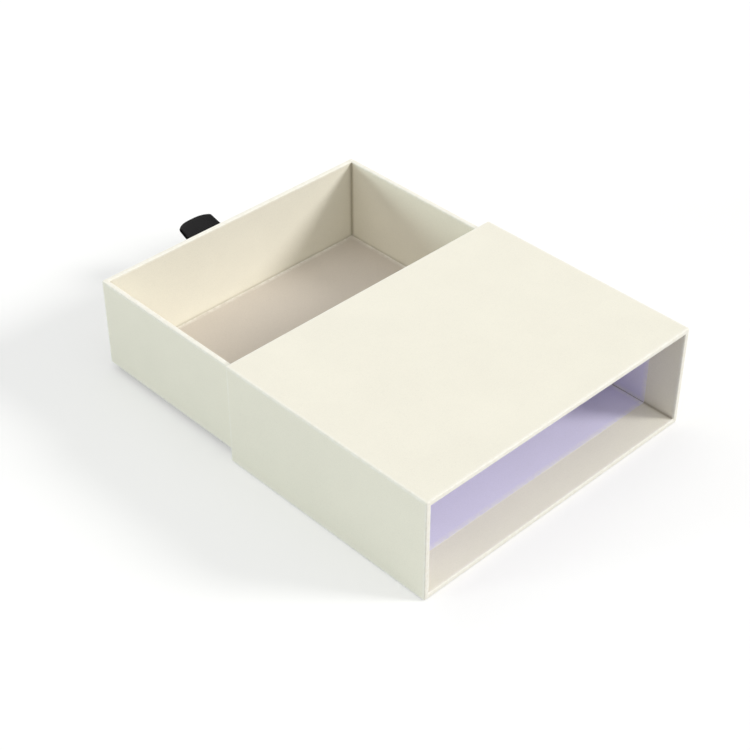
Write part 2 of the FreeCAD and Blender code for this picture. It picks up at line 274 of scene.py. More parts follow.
def built_once(store, name):
    """Turns a builder into a call that gives the data-block of that name, built when first asked for."""

    def wrap(build):
        @functools.wraps(build)
        def get():
            blocks = getattr(bpy.data, store)
            if name not in blocks:
                build(name)
            return blocks[name]

        return get

    return wrap


def new_group(name, kind, inputs, outputs):
    """A new node group with named sockets: (graph, the group's inputs, the group's outputs).

    A socket is written with its type, or with its default, which gives the type.
    """
    tree = bpy.data.node_groups.new(name, kind)
    for in_out, sockets in (("INPUT", inputs), ("OUTPUT", outputs)):
        for label, given in sockets.items():
            socket_type = given if isinstance(given, str) else SOCKET_OF_DEFAULT[type(given)]
            socket = tree.interface.new_socket(label, in_out=in_out, socket_type=socket_type)
            if given is not socket_type:
                socket.default_value = given
    start, end = tree.nodes.new("NodeGroupInput"), tree.nodes.new("NodeGroupOutput")
    return Graph(tree), start.outputs, end.inputs


def new_shape_group(name, inputs):
    """A new geometry-nodes group that takes a material too, and gives a shape."""
    return new_group(name, "GeometryNodeTree", {**inputs, "Material": MATERIAL}, {"Geometry": SHAPE})


def new_material(name):
    """A new material's empty graph."""
    material = bpy.data.materials.new(name)
    material.use_nodes = True
    material.node_tree.nodes.clear()
    return Graph(material.node_tree)


def opaque(colour):
    """A colour with full alpha."""
    return (*colour, 1.0)


# ------------ materials

NOISE_BAND = (0.3, 0.7)
STRAND_SCALE = 0.22
STRAND_WIDTH = 0.012
STRAND_SHADE = 0.08
STRAND_RELIEF = 0.25
CLOUD_SCALE = 0.012
CLOUD_SHADE = 0.16
GRAIN_SHADE = 0.16
PAPER_ROUGHNESS = (0.74, 0.9)
PAPER_RELIEF = 0.06 * MM
# patches that vary how far the folds whiten, as bare fibre and as a painted highlight
PATCH_SIZE = 1.7 * MM
PATCH_BAND = (0.36, 0.62)
LEAST_WHITENED = 0.35
# depth of the painted shade in the inner corners
CORNER_SHADE_DEPTH = 0.45

BOARD_TOOTH_SCALE = 1.6
BOARD_MOTTLE = 0.9
BOARD_RELIEF = 0.04 * MM
FLECK_CELL = 1.1 * MM
FLECK_EDGE = (0.05, 0.16)
FLECK_SHADE = 0.55
FLECK_LIMIT = 0.6
FLECK_COLOUR = from_screen(205, 200, 190)

WARP_PITCH = 0.16 * MM
FUZZ_SIZE = 0.35 * MM
THREAD_RELIEF = 0.03 * MM
RIBBON_ROUGHNESS = (0.45, 0.68)
# painted shade between the threads
SHADE_BETWEEN_THREADS = 0.55
FUZZ_SHADE = (0.6, 1.1)
THREAD_SHARE = 0.6
SHEEN = 0.03
SHEEN_ROUGHNESS = 0.4


@built_once("node_groups", "Paper Tooth")
def paper_tooth(name):
    """Shader group: a paper's cloudy tone, short fibres and fine tooth."""
    inputs = {"Color": WHITE, "Tooth": 0.3 * MM, "Mottle": 0.5, "Fibre": 0.5}
    outputs = {"Color": COLOUR, "Roughness": FLOAT, "Height": FLOAT}
    graph, given, made = new_group(name, "ShaderNodeTree", inputs, outputs)
    fine = graph.scaled(graph.object_place(), graph.over(1.0, given["Tooth"]))
    tooth = graph.noise(fine, detail=3.0, roughness=0.6)
    strand = graph.noise(fine, detail=1.0, distortion=0.6, scale=STRAND_SCALE)
    off_centre = graph.math("ABSOLUTE", graph.minus(strand, 0.5))
    strands = graph.times(graph.mapped(off_centre, 0.0, STRAND_WIDTH, 1.0, 0.0), given["Fibre"])
    cloud = graph.noise(fine, detail=3.0, roughness=0.55, scale=CLOUD_SCALE)
    clouds = graph.times(graph.swing(cloud, given["Mottle"]), CLOUD_SHADE)
    grain = graph.swing(tooth, GRAIN_SHADE)
    tone = graph.plus(graph.plus(clouds, 1.0), grain)
    tone = graph.minus(tone, graph.times(strands, STRAND_SHADE))
    height = graph.plus(graph.times(tooth, 1 - STRAND_RELIEF), graph.times(strands, STRAND_RELIEF))
    graph.put(made["Color"], graph.blend(1.0, given["Color"], tone, "MULTIPLY"))
    graph.put(made["Roughness"], graph.mapped(tooth, *NOISE_BAND, *PAPER_ROUGHNESS))
    graph.put(made["Height"], height)


@built_once("node_groups", "Edge Wear")
def wear_highlight_and_shade(name):
    """Shader group: folds whitened as bare fibre and as a painted highlight, and painted shade in the inner
    corners, from the values that the mesh carries.
    """
    inputs = {"Color": WHITE, "Worn": WHITE, "Crease": WHITE, "Amount": 0.5}
    graph, given, made = new_group(name, "ShaderNodeTree", inputs, {"Color": COLOUR})
    patches = graph.noise(graph.scaled(graph.object_place(), 1 / PATCH_SIZE), detail=3.0, roughness=0.6)
    # folds whitened in patches: partly bare fibre, partly a painted highlight
    rub_and_highlight = graph.times(graph.attribute("wear"), graph.mapped(patches, *PATCH_BAND, LEAST_WHITENED, 1.0))
    colour = graph.blend(graph.times(rub_and_highlight, given["Amount"]), given["Color"], given["Worn"])
    # painted shade in the inner corners and along the drawer's floor
    corner_shading = graph.times(graph.attribute("crease"), CORNER_SHADE_DEPTH)
    graph.put(made["Color"], graph.blend(corner_shading, colour, given["Crease"], "MULTIPLY"))


def finish_surface(graph, colour, roughness, height, relief, specular, strength=1.0):
    """Ends a material with its Principled BSDF, and gives that shader."""
    bump = graph.add("ShaderNodeBump", {"Height": height, "Strength": strength, "Distance": relief})
    values = {"Base Color": colour, "Roughness": roughness, "Normal": bump.outputs["Normal"],
              "Specular IOR Level": specular}
    shader = graph.add("ShaderNodeBsdfPrincipled", values)
    graph.add("ShaderNodeOutputMaterial", {"Surface": shader.outputs["BSDF"]})
    return shader


def make_paper(name, setting, specular, tooth_scale=1.0, fibre_scale=1.0):
    """A matt paper in the colour of a setting, with tooth, fibres, folds whitened as bare fibre and as a
    painted highlight, and painted shade in the inner corners.
    """
    papers = bpy.context.scene.gift_box_papers
    graph = new_material(name)
    values = {"Color": opaque(getattr(papers, setting)), "Tooth": papers.tooth * tooth_scale,
              "Mottle": papers.mottle, "Fibre": papers.fibre * fibre_scale}
    paper = graph.group(paper_tooth(), values)
    values = {"Color": paper["Color"], "Worn": opaque(papers.worn), "Crease": opaque(papers.crease),
              "Amount": papers.wear}
    worn = graph.group(wear_highlight_and_shade(), values)
    finish_surface(graph, worn["Color"], paper["Roughness"], paper["Height"], PAPER_RELIEF, specular)


@built_once("materials", "cover_paper_cream")
def cover_material(name):
    """Cream paper round the boards."""
    make_paper(name, "cover", specular=0.35)


@built_once("materials", "lining_paper_lavender")
def lining_material(name):
    """Lavender sheets inside the sleeve."""
    make_paper(name, "lining", specular=0.35)


@built_once("materials", "floor_paper_cream")
def floor_sheet_material(name):
    """The drawer's floor sheet, a little softer and more fibrous than the cover, greyer, and darker in part
    as painted shade.
    """
    make_paper(name, "floor", specular=0.25, tooth_scale=1.3, fibre_scale=1.4)


@built_once("materials", "gummed_tape")
def tape_material(name):
    """Gummed paper tape, with coarse fibres."""
    make_paper(name, "tape", specular=0.5, tooth_scale=1.8, fibre_scale=1.8)


@built_once("materials", "greyboard")
def greyboard_material(name):
    """Pressed recycled board: cloudy grey with fibres and pale flecks."""
    papers = bpy.context.scene.gift_box_papers
    graph = new_material(name)
    values = {"Color": opaque(papers.greyboard), "Tooth": papers.tooth * BOARD_TOOTH_SCALE,
              "Mottle": BOARD_MOTTLE, "Fibre": 1.0}
    board = graph.group(paper_tooth(), values)
    cells = graph.add("ShaderNodeTexVoronoi", {"Vector": graph.object_place(), "Scale": 1 / FLECK_CELL})
    pale = graph.mapped(cells.outputs["Distance"], *FLECK_EDGE, FLECK_SHADE, 0.0)
    pick = graph.add("ShaderNodeSeparateColor", {"Color": cells.outputs["Color"]})
    pale = graph.times(pale, graph.math("GREATER_THAN", pick.outputs["Red"], FLECK_LIMIT))
    colour = graph.blend(pale, board["Color"], opaque(FLECK_COLOUR))
    finish_surface(
        graph, colour, board["Roughness"], board["Height"], BOARD_RELIEF, specular=0.2, strength=0.8
    )


@built_once("materials", "ribbon_black")
def ribbon_material(name):
    """Black woven ribbon: cross ribs of bundled threads with a painted highlight on the rib tops and
    painted shade between the threads, and a soft sheen.
    """
    ribbon = bpy.context.scene.gift_box_ribbon
    graph = new_material(name)
    ribs = graph.times(graph.attribute("along"), math.tau / ribbon.pitch)
    threads = graph.times(graph.attribute("across"), math.tau / WARP_PITCH)
    rib = graph.mapped(graph.math("COSINE", ribs), -1.0, 1.0)
    warp = graph.mapped(graph.math("SINE", threads), -1.0, 1.0)
    fuzz = graph.noise(graph.scaled(graph.object_place(), 1 / FUZZ_SIZE), detail=3.0, roughness=0.65)
    # painted highlight on the rib tops and painted shade between the threads, varied by random fuzz
    crest = graph.times(rib, graph.mapped(warp, 0.0, 1.0, SHADE_BETWEEN_THREADS, 1.0))
    crest = graph.times(crest, graph.mapped(fuzz, *NOISE_BAND, *FUZZ_SHADE))
    colour = graph.blend(crest, opaque(ribbon.colour), opaque(ribbon.crest))
    roughness = graph.mapped(fuzz, *NOISE_BAND, *RIBBON_ROUGHNESS)
    height = graph.plus(graph.times(warp, THREAD_SHARE), graph.times(fuzz, 1 - THREAD_SHARE))
    shader = finish_surface(graph, colour, roughness, height, THREAD_RELIEF, specular=0.12, strength=0.7)
    shader.inputs["Sheen Weight"].default_value = SHEEN
    shader.inputs["Sheen Roughness"].default_value = SHEEN_ROUGHNESS


# ------------ wrapped covers

# where the mesh is close together, measured from a fold
NEAR_FOLD = tuple(d * MM for d in (0.12, 0.35, 0.8, 1.5, 3.0, 6.0))
EVEN_SPACING = 9 * MM
ARC_STEPS = 6
SHARP_EDGE = math.radians(38)
# how far the whitening of a fold, bare fibre and painted highlight, reaches from it
WEAR_AND_HIGHLIGHT_REACH = 0.8 * MM
# how far the painted shade reaches from an inner corner or from the drawer's floor
CORNER_SHADE_REACH = 1.4 * MM
STEP_WIDTH = 0.03 * MM

# the drawer's wrap under the base, and where it turns onto the inside floor
UNDER_INSETS = tuple(d * MM for d in (12, 6, 3, 1.5, 0.9))
LEAST_RADIUS = 0.06 * MM
COVE_RADIUS = 0.3 * MM
FLANGE = 1.5 * MM
FLANGE_DIP = 0.02 * MM
FOOT_LEVEL = DRAWER_FLOOR + 0.05 * MM

# the slot for the ribbon, and the swelling over its two tails
FRONT_SIDE = 2
SLOT_CLEARANCE = 0.15 * MM
SLOT_HALF_HEIGHT = 0.65 * MM
TAIL_SWELL = 0.07 * MM
SWELL_OUTSIDE = 1.0 * MM
SWELL_OFFSETS = (-1.2 * MM, 0.9 * MM)

# a place on a wrap's ring: kind is "arc" at a corner or "side"; share is how far along it lies, and
# distance how far from the nearest corner
Station = namedtuple("Station", "kind side share distance")


def about(middle, half, offsets=(0.0,)):
    """Places to both sides of a middle, at a half width and its offsets."""
    return [middle + side * (half + offset) for side in (-1, 1) for offset in offsets]


SLOT_LEVELS = about(RIBBON_LEVEL, SLOT_HALF_HEIGHT)
SWELL_LEVELS = about(RIBBON_LEVEL, TAIL_REACH, (-SWELL_OUTSIDE, SWELL_OUTSIDE))


def places_along(length, extra=()):
    """Places on a straight run: close together by both ends, even between, with the extra ones."""
    close = [d for d in NEAR_FOLD if d < length / 3]
    start = close[-1] if close else 0.0
    count = max(1, round((length - 2 * start) / EVEN_SPACING))
    even = [start + (length - 2 * start) * i / count for i in range(1, count)]
    places = close + even + [length - d for d in close]
    kept = [p for p in places if all(abs(p - e) > STEP_WIDTH for e in extra)]
    return sorted(kept + [e for e in extra if 0 < e < length])


def edge_plan(lengths, radius, extras=((), ())):
    """The stations round a rounded rectangle."""
    plan = []
    for side in range(4):
        plan += [Station("arc", side, step / ARC_STEPS, 0.0) for step in range(ARC_STEPS + 1)]
        run = lengths[side % 2] - 2 * radius
        for place in places_along(run, extras[side % 2]):
            plan.append(Station("side", side, place / run, min(place, run - place)))
    return plan


def ring(plan, low, high, radius):
    """The plan's stations on one rounded rectangle, as (u, v) points, anticlockwise."""
    right, left = high[0] - radius, low[0] + radius
    top, bottom = high[1] - radius, low[1] + radius
    centres = ((right, top), (left, top), (left, bottom), (right, bottom))

    def on_arc(corner, share):
        angle = (corner + share) * math.pi / 2
        u, v = centres[corner]
        return Vector((u + radius * math.cos(angle), v + radius * math.sin(angle)))

    points = []
    for station in plan:
        if station.kind == "arc":
            points.append(on_arc(station.side, station.share))
        else:
            side_end = on_arc((station.side + 1) % 4, 0.0)
            points.append(on_arc(station.side, 1.0).lerp(side_end, station.share))
    return points


def inset(low, high, by):
    """A rectangle's two corners, moved inwards."""
    return [c + by for c in low], [c - by for c in high]


def quarter(depth, place, radius, start, end, part):
    """A quarter round in a wall's section, from its centre: (depth into the wall, place, part)."""
    angles = (math.radians(start + (end - start) * i / ARC_STEPS) for i in range(ARC_STEPS + 1))
    return [(depth + radius * math.cos(a), place + radius * math.sin(a), part) for a in angles]


def over_edge(edge, radius):
    """The fold over a board's edge, from the wall's inner face to its outer face."""
    inner = quarter(WALL - radius, edge - radius, radius, 0, 90, "rim")
    outer = quarter(radius, edge - radius, radius, 90, 180, "rim")
    return [*inner, (WALL / 2, edge, "rim"), *outer]


def fade(distance, reach):
    """1 at a fold, easing to 0 at its reach."""
    return max(0.0, 1.0 - max(0.0, distance) / reach) ** 2


def mitred(station, depth, part):
    """1 on a corner's diagonal inside the wall, where two turn-ins meet, and 0 elsewhere."""
    turned_in = part == "inner" or (part == "rim" and depth > WALL / 3)
    on_diagonal = station.kind == "arc" and abs(station.share - 0.5) < 0.5 / ARC_STEPS
    return 1.0 if turned_in and on_diagonal else 0.0


def point_marks(station, depth, part, folds, worn, corner_shaded=0.0):
    """A point's (whitening, painted corner shade, sink): what its whole ring has, and what its place on the
    ring adds.
    """
    # outer folds whitened: partly bare fibre, partly a painted highlight
    if part == "outer":
        worn = max(worn, fade(station.distance, WEAR_AND_HIGHLIGHT_REACH))
    # painted shade near the inner corners
    if part in ("inner", "foot"):
        corner_shaded = max(corner_shaded, fade(station.distance, CORNER_SHADE_REACH))
    return worn, corner_shaded, folds.slit * mitred(station, depth, part)


def mesh_object(name, mesh, material=None):
    """Links a mesh as a new object in the scene."""
    if not mesh.polygons:
        raise RuntimeError(f"{name} came out with no faces")
    piece = bpy.data.objects.new(name, mesh)
    bpy.context.scene.collection.objects.link(piece)
    if material:
        mesh.materials.clear()
        mesh.materials.append(material)
    return piece


def settle(piece, body, node):
    """Puts a piece on its body, in the place of a frame part, and hides that part."""
    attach(piece, body)
    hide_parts(node)


def skin(name, rings, marks, cap=False, left_out=None):
    """Joins rings of points into one sheet of cover paper, and gives it the paper's thickness.

    marks holds each point's (whitening, painted corner shade, sink); sink moves a point into the wall.
    left_out says which quads the sheet goes without.
    """
    shape = bmesh.new()
    # layers carried by the mesh: the folds' whitening, the painted shade of the inner corners, and the sink
    wear, crease, sink = (shape.verts.layers.float.new(label) for label in ("wear", "crease", "sink"))
    rows = []
    for points, values in zip(rings, marks):
        row = []
        for point, (worn, corner_shaded, sunk) in zip(points, values):
            vertex = shape.verts.new(point)
            vertex[wear], vertex[crease], vertex[sink] = worn, corner_shaded, sunk
            row.append(vertex)
        rows.append(row)
    for lower, upper in zip(rows, rows[1:]):
        for i in range(len(lower)):
            j = (i + 1) % len(lower)
            quad = (lower[i], lower[j], upper[j], upper[i])
            if not (left_out and left_out(quad)):
                shape.faces.new(quad)
    if cap:
        shape.faces.new(list(reversed(rows[0])))
    shape.normal_update()
    for vertex in shape.verts:
        vertex.co -= vertex.normal * vertex[sink]
    mesh = bpy.data.meshes.new(name)
    shape.to_mesh(mesh)
    shape.free()
    mesh.shade_smooth()
    mesh.set_sharp_from_angle(angle=SHARP_EDGE)
    piece = mesh_object(name, mesh, cover_material())
    solid = piece.modifiers.new("Paper thickness", "SOLIDIFY")
    solid.thickness = COVER
    solid.offset = -1
    return piece


def sleeve_section(folds):
    """The sleeve wall's section from one turn-in's cut edge to the other's: (depth, y, part)."""
    mouth = SLEEVE_HIGH.y
    fold = mouth - folds.rim
    cut = mouth - TURN_IN
    half = [(WALL, cut + p, "inner") for p in (0.0, *places_along(TURN_IN - folds.rim))]
    half += over_edge(mouth, folds.rim)
    flat = [(0.0, fold - p, "outer") for p in places_along(2 * fold)]
    return half + flat + [(depth, -y, part) for depth, y, part in reversed(half)]


def build_sleeve_wrap(folds):
    """Cover paper round the sleeve, folded over both mouths and turned in."""
    low, high = (SLEEVE_LOW.x, SLEEVE_LOW.z), (SLEEVE_HIGH.x, SLEEVE_HIGH.z)
    plan = edge_plan((high[0] - low[0], high[1] - low[1]), folds.corner)
    outside = ring(plan, low, high, folds.corner)
    inside = ring(plan, *inset(low, high, WALL), folds.inner)
    rings, marks = [], []
    for depth, y, part in sleeve_section(folds):
        points = [a.lerp(b, depth / WALL) for a, b in zip(outside, inside)]
        rings.append([Vector((p.x, y, p.y)) for p in points])
        by_mouth = fade(SLEEVE_HIGH.y - folds.rim - abs(y), WEAR_AND_HIGHLIGHT_REACH)
        marks.append([point_marks(station, depth, part, folds, by_mouth) for station in plan])
    return skin("sleeve_wrap", rings, marks)


def drawer_section(folds):
    """The drawer wall's section from under the base to the flange on the floor: (depth, z, part)."""
    bottom, top = DRAWER_LOW.z + folds.corner, DRAWER_HIGH.z - folds.rim
    cove = FOOT_LEVEL + COVE_RADIUS
    section = [(depth, DRAWER_LOW.z, "under") for depth in UNDER_INSETS]
    section += quarter(folds.corner, bottom, folds.corner, 270, 180, "fold")
    places = places_along(top - bottom, [z - bottom for z in SLOT_LEVELS])
    section += [(0.0, bottom + p, "outer") for p in places]
    section += reversed(over_edge(DRAWER_HIGH.z, folds.rim))
    places = places_along(top - cove, [top - z for z in SWELL_LEVELS])
    section += [(WALL, top - p, "inner") for p in places]
    rounded = quarter(WALL, cove, COVE_RADIUS, 0, -90, "foot")
    section += [(2 * WALL + COVE_RADIUS - depth, z, part) for depth, z, part in rounded]
    return [*section, (WALL + COVE_RADIUS + FLANGE, FOOT_LEVEL - FLANGE_DIP, "foot")]


def under_lap(station, seam):
    """1 where a corner is under the side wall's wrap, 0 where the wrap itself lies on top."""
    if station.kind == "arc":
        return station.share if station.side % 2 else 1.0 - station.share
    return 1.0 if station.side % 2 and station.distance < seam + STEP_WIDTH / 2 else 0.0


def over_tails(x, z):
    """1 over the ribbon's pasted tails, 0 away from them."""
    return 1.0 if abs(x) < RIBBON_WIDTH / 2 and abs(z - RIBBON_LEVEL) < TAIL_REACH else 0.0


def drawer_marks(folds, plan, points, depth, z, part):
    """The (whitening, painted corner shade, sink) of each point on one ring of the drawer's wrap."""
    by_fold = fade(depth - folds.corner, WEAR_AND_HIGHLIGHT_REACH)
    by_base = fade(z - DRAWER_LOW.z - folds.corner, WEAR_AND_HIGHLIGHT_REACH)
    by_rim = fade(DRAWER_HIGH.z - folds.rim - z, WEAR_AND_HIGHLIGHT_REACH)
    by_ring = {"under": by_fold, "fold": 1.0, "outer": max(by_rim, by_base), "rim": 1.0, "inner": by_rim,
               "foot": 0.0}
    # painted shade along the foot of the inner walls, by the floor
    shade_by_floor = fade(z - FOOT_LEVEL, CORNER_SHADE_REACH) if part in ("inner", "foot") else 0.0
    row = []
    for station, point in zip(plan, points):
        worn, corner_shaded, sunk = point_marks(station, depth, part, folds, by_ring[part], shade_by_floor)
        if part in ("outer", "rim", "inner"):
            sunk += folds.seam_step * under_lap(station, folds.seam_inset)
        if part == "inner" and station.kind == "side" and station.side == FRONT_SIDE:
            sunk -= TAIL_SWELL * over_tails(point.x, z)
        row.append((worn, corner_shaded, sunk))
    return row


def in_slot(quad):
    """Whether four vertices lie round a place in the ribbon's slot, on the front wall's outside."""
    middle = sum((vertex.co for vertex in quad), Vector()) / len(quad)
    beside = abs(middle.x) < RIBBON_WIDTH / 2 + SLOT_CLEARANCE
    level = abs(middle.z - RIBBON_LEVEL) < SLOT_HALF_HEIGHT
    return beside and level and middle.y < DRAWER_LOW.y + COVER


def build_drawer_wrap(folds):
    """Cover paper under the drawer, up its walls, over the rim and down the inside to the floor."""
    low, high = (DRAWER_LOW.x, DRAWER_LOW.y), (DRAWER_HIGH.x, DRAWER_HIGH.y)
    width, length = high[0] - low[0], high[1] - low[1]
    radius, seam = folds.corner, folds.seam_inset
    middle = width / 2 - radius
    ribbon_places = about(middle, RIBBON_WIDTH / 2, (SLOT_CLEARANCE, *SWELL_OFFSETS))
    seam_places = [seam, seam + STEP_WIDTH]
    seam_places += [length - 2 * radius - place for place in reversed(seam_places)]
    plan = edge_plan((width, length), radius, (ribbon_places, seam_places))
    outside = ring(plan, low, high, radius)
    inside = ring(plan, *inset(low, high, WALL), folds.inner)
    rings, marks = [], []
    for depth, z, part in drawer_section(folds):
        if part in ("under", "fold"):
            points = ring(plan, *inset(low, high, depth), max(radius - depth, LEAST_RADIUS))
        elif part == "foot":
            points = ring(plan, *inset(low, high, depth), folds.inner)
        else:
            points = [a.lerp(b, depth / WALL) for a, b in zip(outside, inside)]
        rings.append([Vector((p.x, p.y, z)) for p in points])
        marks.append(drawer_marks(folds, plan, points, depth, z, part))
    return skin("drawer_wrap", rings, marks, cap=True, left_out=in_slot)


# ------------ pasted sheets

SHEET_CELL = 2 * MM
LINING_LIFT = 0.06 * MM
STRAY_LENGTH = 14 * MM
STRAY_GAIN = (4.0, 4.0, 0.0)
NO_STRAY = (0.5, 0.5, 0.5)
WELD = 1e-6


@built_once("node_groups", "Pasted Sheet")
def pasted_sheet_tree(name):
    """Geometry nodes: a flat sheet cut by hand, lying on the XY plane, with its cut edge marked."""
    inputs = {"Width": 0.1, "Length": 0.1, "Thickness": 0.2 * MM, "Cell": 2 * MM, "Waver": 0.1 * MM,
              "Seed": 0}
    graph, given, made = new_shape_group(name, inputs)
    grid = graph.add("GeometryNodeMeshGrid", {"Size X": given["Width"], "Size Y": given["Length"]})
    for axis, side in (("X", "Width"), ("Y", "Length")):
        cells = graph.over(given[side], given["Cell"])
        graph.put(grid.inputs[f"Vertices {axis}"], graph.plus(cells, 2.0))
    faces = graph.add("GeometryNodeInputMeshEdgeNeighbors").outputs["Face Count"]
    border = graph.add("FunctionNodeCompare", {2: faces, 3: 1}, data_type="INT", operation="EQUAL")
    stray = graph.seeded_noise(graph.point_place(), given["Seed"], 1 / STRAY_LENGTH)["Color"]
    stray = graph.vector("MULTIPLY", graph.vector("SUBTRACT", stray, NO_STRAY), STRAY_GAIN)
    values = {"Geometry": grid.outputs["Mesh"], "Selection": border.outputs["Result"],
              "Offset": graph.scaled(stray, given["Waver"])}
    cut = graph.add("GeometryNodeSetPosition", values)
    # the cut edge whitens: partly bare fibre, partly a painted highlight
    marked = graph.stored(cut.outputs[0], "wear", border.outputs["Result"])
    values = {"Mesh": marked, "Offset Scale": given["Thickness"], "Individual": False}
    raised = graph.add("GeometryNodeExtrudeMesh", values, mode="FACES")
    under = graph.add("GeometryNodeFlipFaces", {"Mesh": marked})
    joined = graph.add("GeometryNodeJoinGeometry")
    graph.put(joined.inputs[0], raised.outputs["Mesh"])
    graph.put(joined.inputs[0], under.outputs[0])
    closed = graph.add("GeometryNodeMergeByDistance", {"Geometry": joined.outputs[0], "Distance": WELD})
    graph.finish_shape(closed.outputs[0], given, made)


def grown(name, tree, values, source=None):
    """The plain mesh that a geometry-nodes tree makes from its named inputs."""
    carrier = bpy.data.objects.new(f"{name}_carrier", source or bpy.data.meshes.new(f"{name}_carrier"))
    bpy.context.scene.collection.objects.link(carrier)
    modifier = carrier.modifiers.new(tree.name, "NODES")
    modifier.node_group = tree
    for item in tree.interface.items_tree:
        if item.item_type == "SOCKET" and item.in_out == "INPUT" and item.name in values:
            modifier[item.identifier] = values[item.name]
    graph = bpy.context.evaluated_depsgraph_get()
    mesh = bpy.data.meshes.new_from_object(
        carrier.evaluated_get(graph), preserve_all_data_layers=True, depsgraph=graph
    )
    carrier.modifiers.remove(modifier)
    bpy.data.objects.remove(carrier)
    mesh.name = name
    return mesh


def turned(across, along):
    """A turn that lays flat X along across and flat Y along along."""
    return Matrix((across, along, across.cross(along))).transposed().to_4x4()


def place_grown(name, tree, values, place, body, node, source=None):
    """Grows a piece, turns it into its place and settles it there."""
    mesh = grown(name, tree, values, source)
    mesh.transform(place)
    mesh.update()
    settle(mesh_object(name, mesh), body, node)


def lay_sheet(name, node, body, normal, material, seed, lap=0.0, lift=0.0):
    """A pasted sheet in the place of a frame part, on the board that carries it."""
    low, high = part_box(node)
    up, along = Vector(normal), Vector((0, 1, 0))
    across = along.cross(up)
    size = high - low
    rise = abs(size.dot(up))
    values = {
        "Width": abs(size.dot(across)),
        "Length": size.y + 2 * lap,
        "Thickness": rise + lift,
        "Cell": SHEET_CELL,
        "Waver": bpy.context.scene.gift_box_folds.waver,
        "Seed": seed,
        "Material": material,
    }
    seat = (low + high) / 2 - up * rise / 2
    place = Matrix.Translation(seat) @ turned(across, along)
    place_grown(name, pasted_sheet_tree(), values, place, body, node)


# ------------ gummed tapes

TAPE_THICKNESS = 0.1 * MM
TAPE_DEPTH = 0.2 * MM
TAPE_FOLD = 0.3 * MM
TAPE_SHORT = 0.35 * MM
TAPE_FOLD_STEPS = 5


@built_once("node_groups", "Folded Tape")
def folded_tape_tree(name):
    """Geometry nodes: a tape that follows the incoming path in the XY plane, with its width along Z."""
    inputs = {"Geometry": SHAPE, "Width": 80 * MM, "Thickness": 0.1 * MM, "Fold Radius": 0.3 * MM}
    graph, given, made = new_shape_group(name, inputs)
    values = {"Curve": given["Geometry"], "Radius": given["Fold Radius"], "Count": TAPE_FOLD_STEPS}
    bent = graph.add("GeometryNodeFilletCurve", values, mode="POLY")
    levelled = graph.add("GeometryNodeSetCurveNormal", {"Curve": bent.outputs[0]}, mode="Z_UP")
    values = {"Width": given["Thickness"], "Height": given["Width"]}
    section = graph.add("GeometryNodeCurvePrimitiveQuadrilateral", values)
    values = {"Curve": levelled.outputs[0], "Profile Curve": section.outputs[0], "Fill Caps": True}
    swept = graph.add("GeometryNodeCurveToMesh", values)
    graph.finish_shape(swept.outputs[0], given, made)


def flat_path(name, kind, places):
    """A curve through the places, as one spline of its kind: (curve, spline)."""
    curve = bpy.data.curves.new(name, "CURVE")
    curve.dimensions = "3D"
    spline = curve.splines.new(kind)
    spline.points.add(len(places) - 1)
    for point, place in zip(spline.points, places):
        point.co = (*place, 1.0)
    return curve, spline


def fold_tape(node, body, axis):
    """A gummed tape folded round a corner of the boards, in the place of a part that runs along axis."""
    low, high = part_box(node)
    cover_low, cover_high = (SLEEVE_LOW, SLEEVE_HIGH) if body == "sleeve" else (DRAWER_LOW, DRAWER_HIGH)
    corner = (low + high) / 2
    legs, reaches = [], []
    for other in (i for i in range(3) if i != axis):
        outwards = 1.0 if corner[other] > (cover_low[other] + cover_high[other]) / 2 else -1.0
        edge = cover_high if outwards > 0 else cover_low
        corner[other] = edge[other] - outwards * TAPE_DEPTH
        leg = Vector()
        leg[other] = -outwards
        legs.append(leg)
        reaches.append(high[other] - low[other])
    places = ((reaches[0], 0, 0), (0, 0, 0), (0, reaches[1], 0))
    path, _ = flat_path(f"{node}_path", "POLY", places)
    values = {
        "Width": high[axis] - low[axis] - 2 * TAPE_SHORT,
        "Thickness": TAPE_THICKNESS,
        "Fold Radius": TAPE_FOLD,
        "Material": tape_material(),
    }
    name = node.replace("_stay_", "_tape_")
    place = Matrix.Translation(corner) @ turned(*legs)
    place_grown(name, folded_tape_tree(), values, place, body, node, source=path)


# ------------ ribbon pull

RIBBON_THICKNESS = 0.35 * MM
LAYER_OFFSET = 0.325 * MM
ROWS_PER_RIB = 6.0
RIBBON_SEED = 3
FOLD_LENGTH = 11 * MM
SELVEDGE = (0.9, 1.0, 1.0, 0.2)
SLACK = 0.12 * MM
SLACK_LENGTH = 3 * MM
SLACK_DRIFT = 300.0
FOLD_NARROWING = -0.05
CORNER_POWER = 3.0

# the tails behind the front wall: how high the path stands, in shares of a tail
TAIL_PLACES = (1.0, 0.6, 0.25)
SLOT_ENTRY = 0.6 * MM
ENTRY_SLOPE = 0.1 * MM
EXIT_STRAIGHT = 0.5 * MM

# the loop's layers at shares of its reach: still together, in layer offsets, then in half openings
LOOP_TOGETHER = ((0.12, 1.0), (0.3, 1.3))
LOOP_OPEN = ((0.5, 0.8), (0.7, 1.0), (0.85, 1.0), (0.95, 0.95), (1.0, 0.65))
PATH_STEPS = 16
PATH_ORDER = 3


